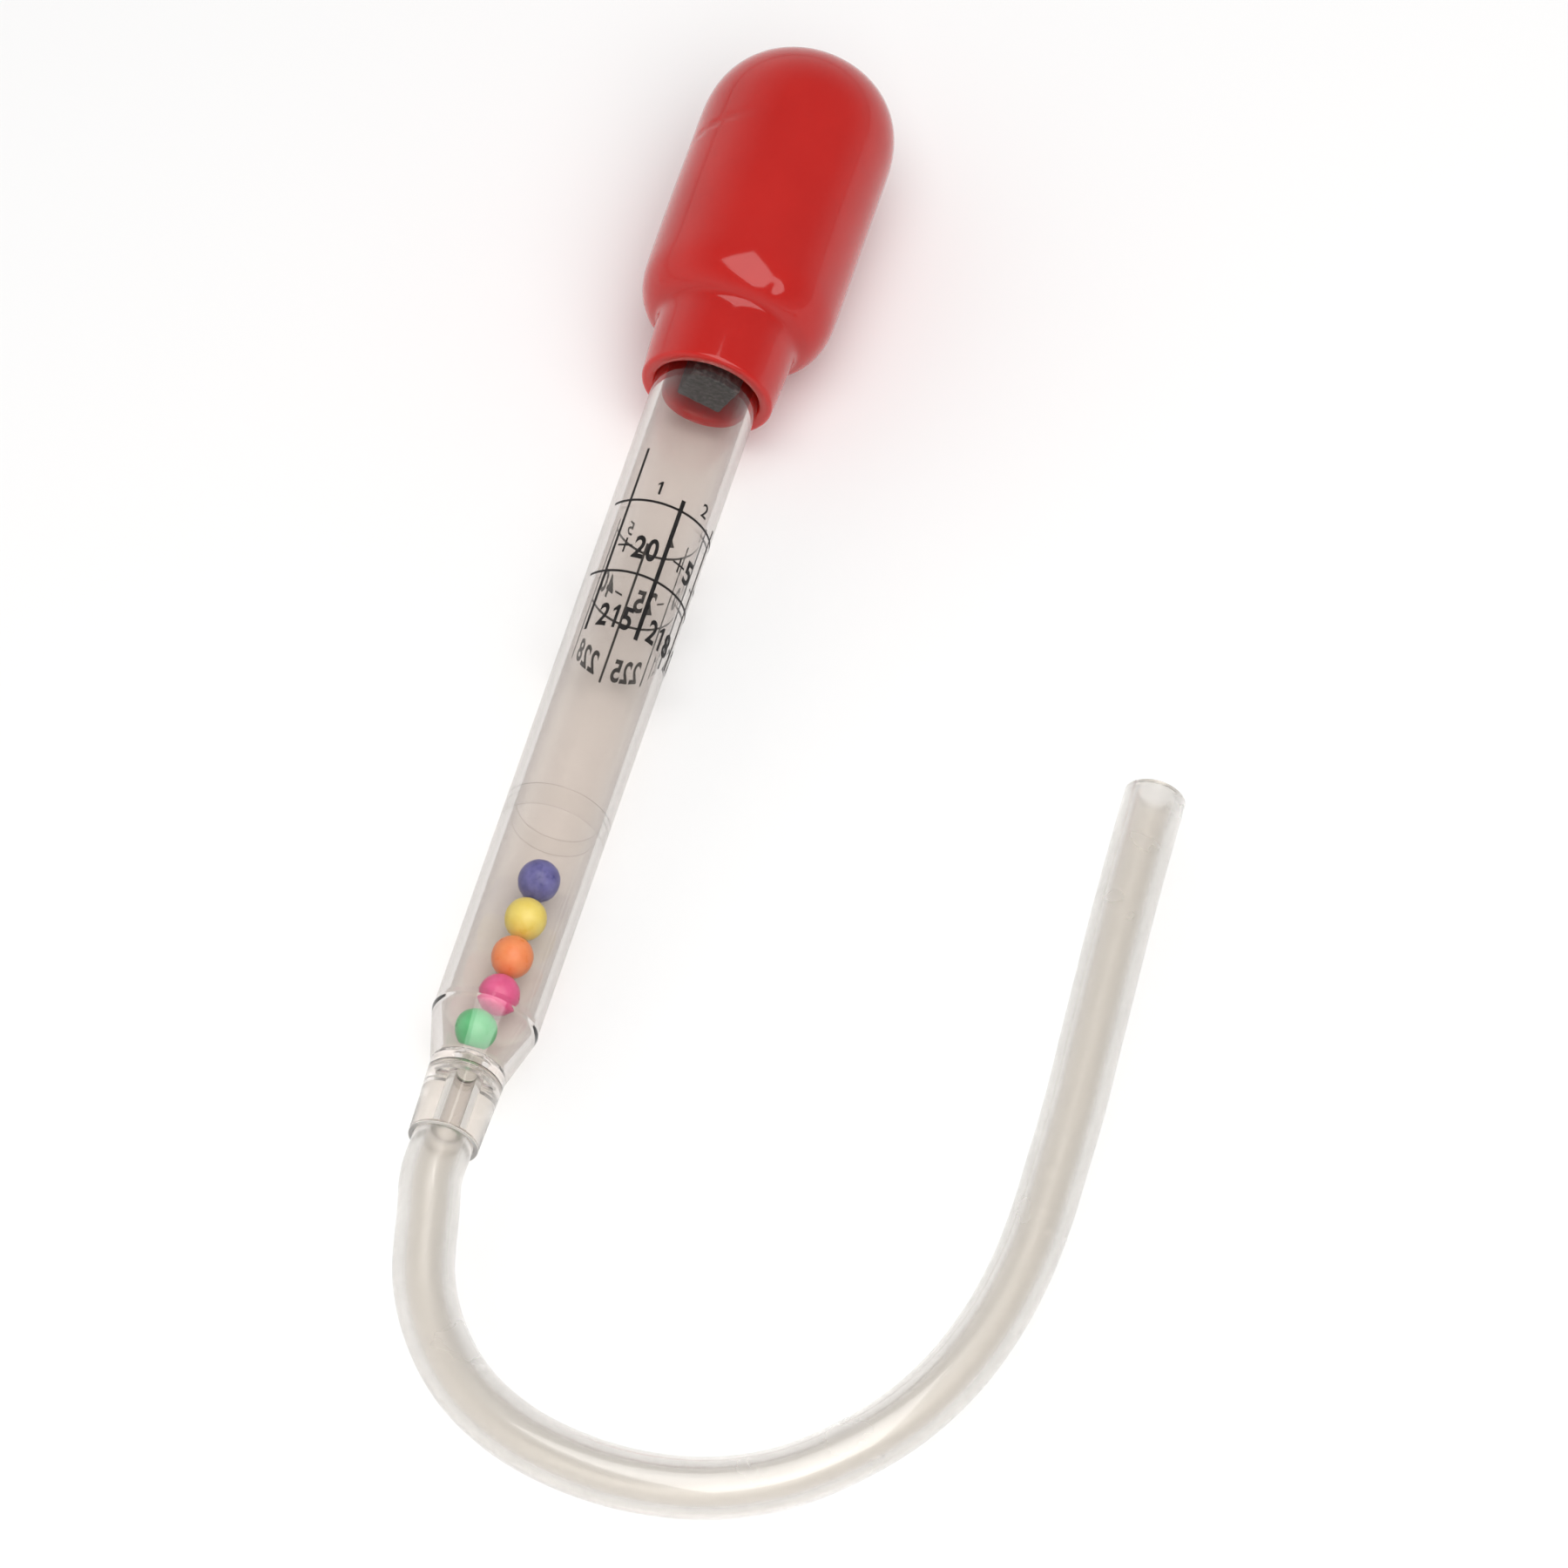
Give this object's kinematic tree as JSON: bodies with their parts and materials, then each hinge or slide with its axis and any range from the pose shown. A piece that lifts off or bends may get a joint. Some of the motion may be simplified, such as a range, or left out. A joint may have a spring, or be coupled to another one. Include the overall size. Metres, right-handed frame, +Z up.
{
  "type": "antifreeze tester",
  "caption": "Squeeze-bulb coolant tester: clear barrel with coloured floating balls, a nozzle and a curved clear suction hose.",
  "frame": {"origin": "on the table, under the middle of the box of the tester without its hose", "axes": "+Z up from the table; +Y along the barrel from the nozzle to the bulb, seen from above; +X towards the side where the hose is laid"},
  "size_m": [0.0916, 0.215, 0.0266],
  "materials": {
    "red_rubber": "soft glossy moulded red vinyl rubber",
    "clear_plastic": "clear hard plastic, polished",
    "grey_rubber": "rough dark grey cut rubber",
    "ball_green": "satin green plastic",
    "ball_pink": "satin pink plastic",
    "ball_orange": "satin orange plastic",
    "ball_yellow": "satin yellow plastic",
    "ball_blue": "satin blue plastic",
    "clear_vinyl": "clear soft vinyl tubing"
  },
  "bodies": {
    "tester": {"squeeze_bulb": "red_rubber", "barrel_tube": "clear_plastic", "ball_chamber": "clear_plastic", "ball_stop": "grey_rubber", "hose": "clear_vinyl"},
    "green_ball": {"ball_green": "ball_green"},
    "pink_ball": {"ball_pink": "ball_pink"},
    "orange_ball": {"ball_orange": "ball_orange"},
    "yellow_ball": {"ball_yellow": "ball_yellow"},
    "blue_ball": {"ball_blue": "ball_blue"}
  },
  "joints": [
    {"name": "green_ball_rise", "type": "slide", "parent": "tester", "child": "green_ball", "axis": [0, 0.9988, 0.0497], "range_m": [0, 0.0144]},
    {"name": "pink_ball_rise", "type": "slide", "parent": "green_ball", "child": "pink_ball", "axis": [0, 0.9988, 0.0497], "range_m": [0, 0.0144]},
    {"name": "orange_ball_rise", "type": "slide", "parent": "pink_ball", "child": "orange_ball", "axis": [0, 0.9988, 0.0497], "range_m": [0, 0.0144]},
    {"name": "yellow_ball_rise", "type": "slide", "parent": "orange_ball", "child": "yellow_ball", "axis": [0, 0.9988, 0.0497], "range_m": [0, 0.0144]},
    {"name": "blue_ball_rise", "type": "slide", "parent": "yellow_ball", "child": "blue_ball", "axis": [0, 0.9988, 0.0497], "range_m": [0, 0.0144]}
  ]
}
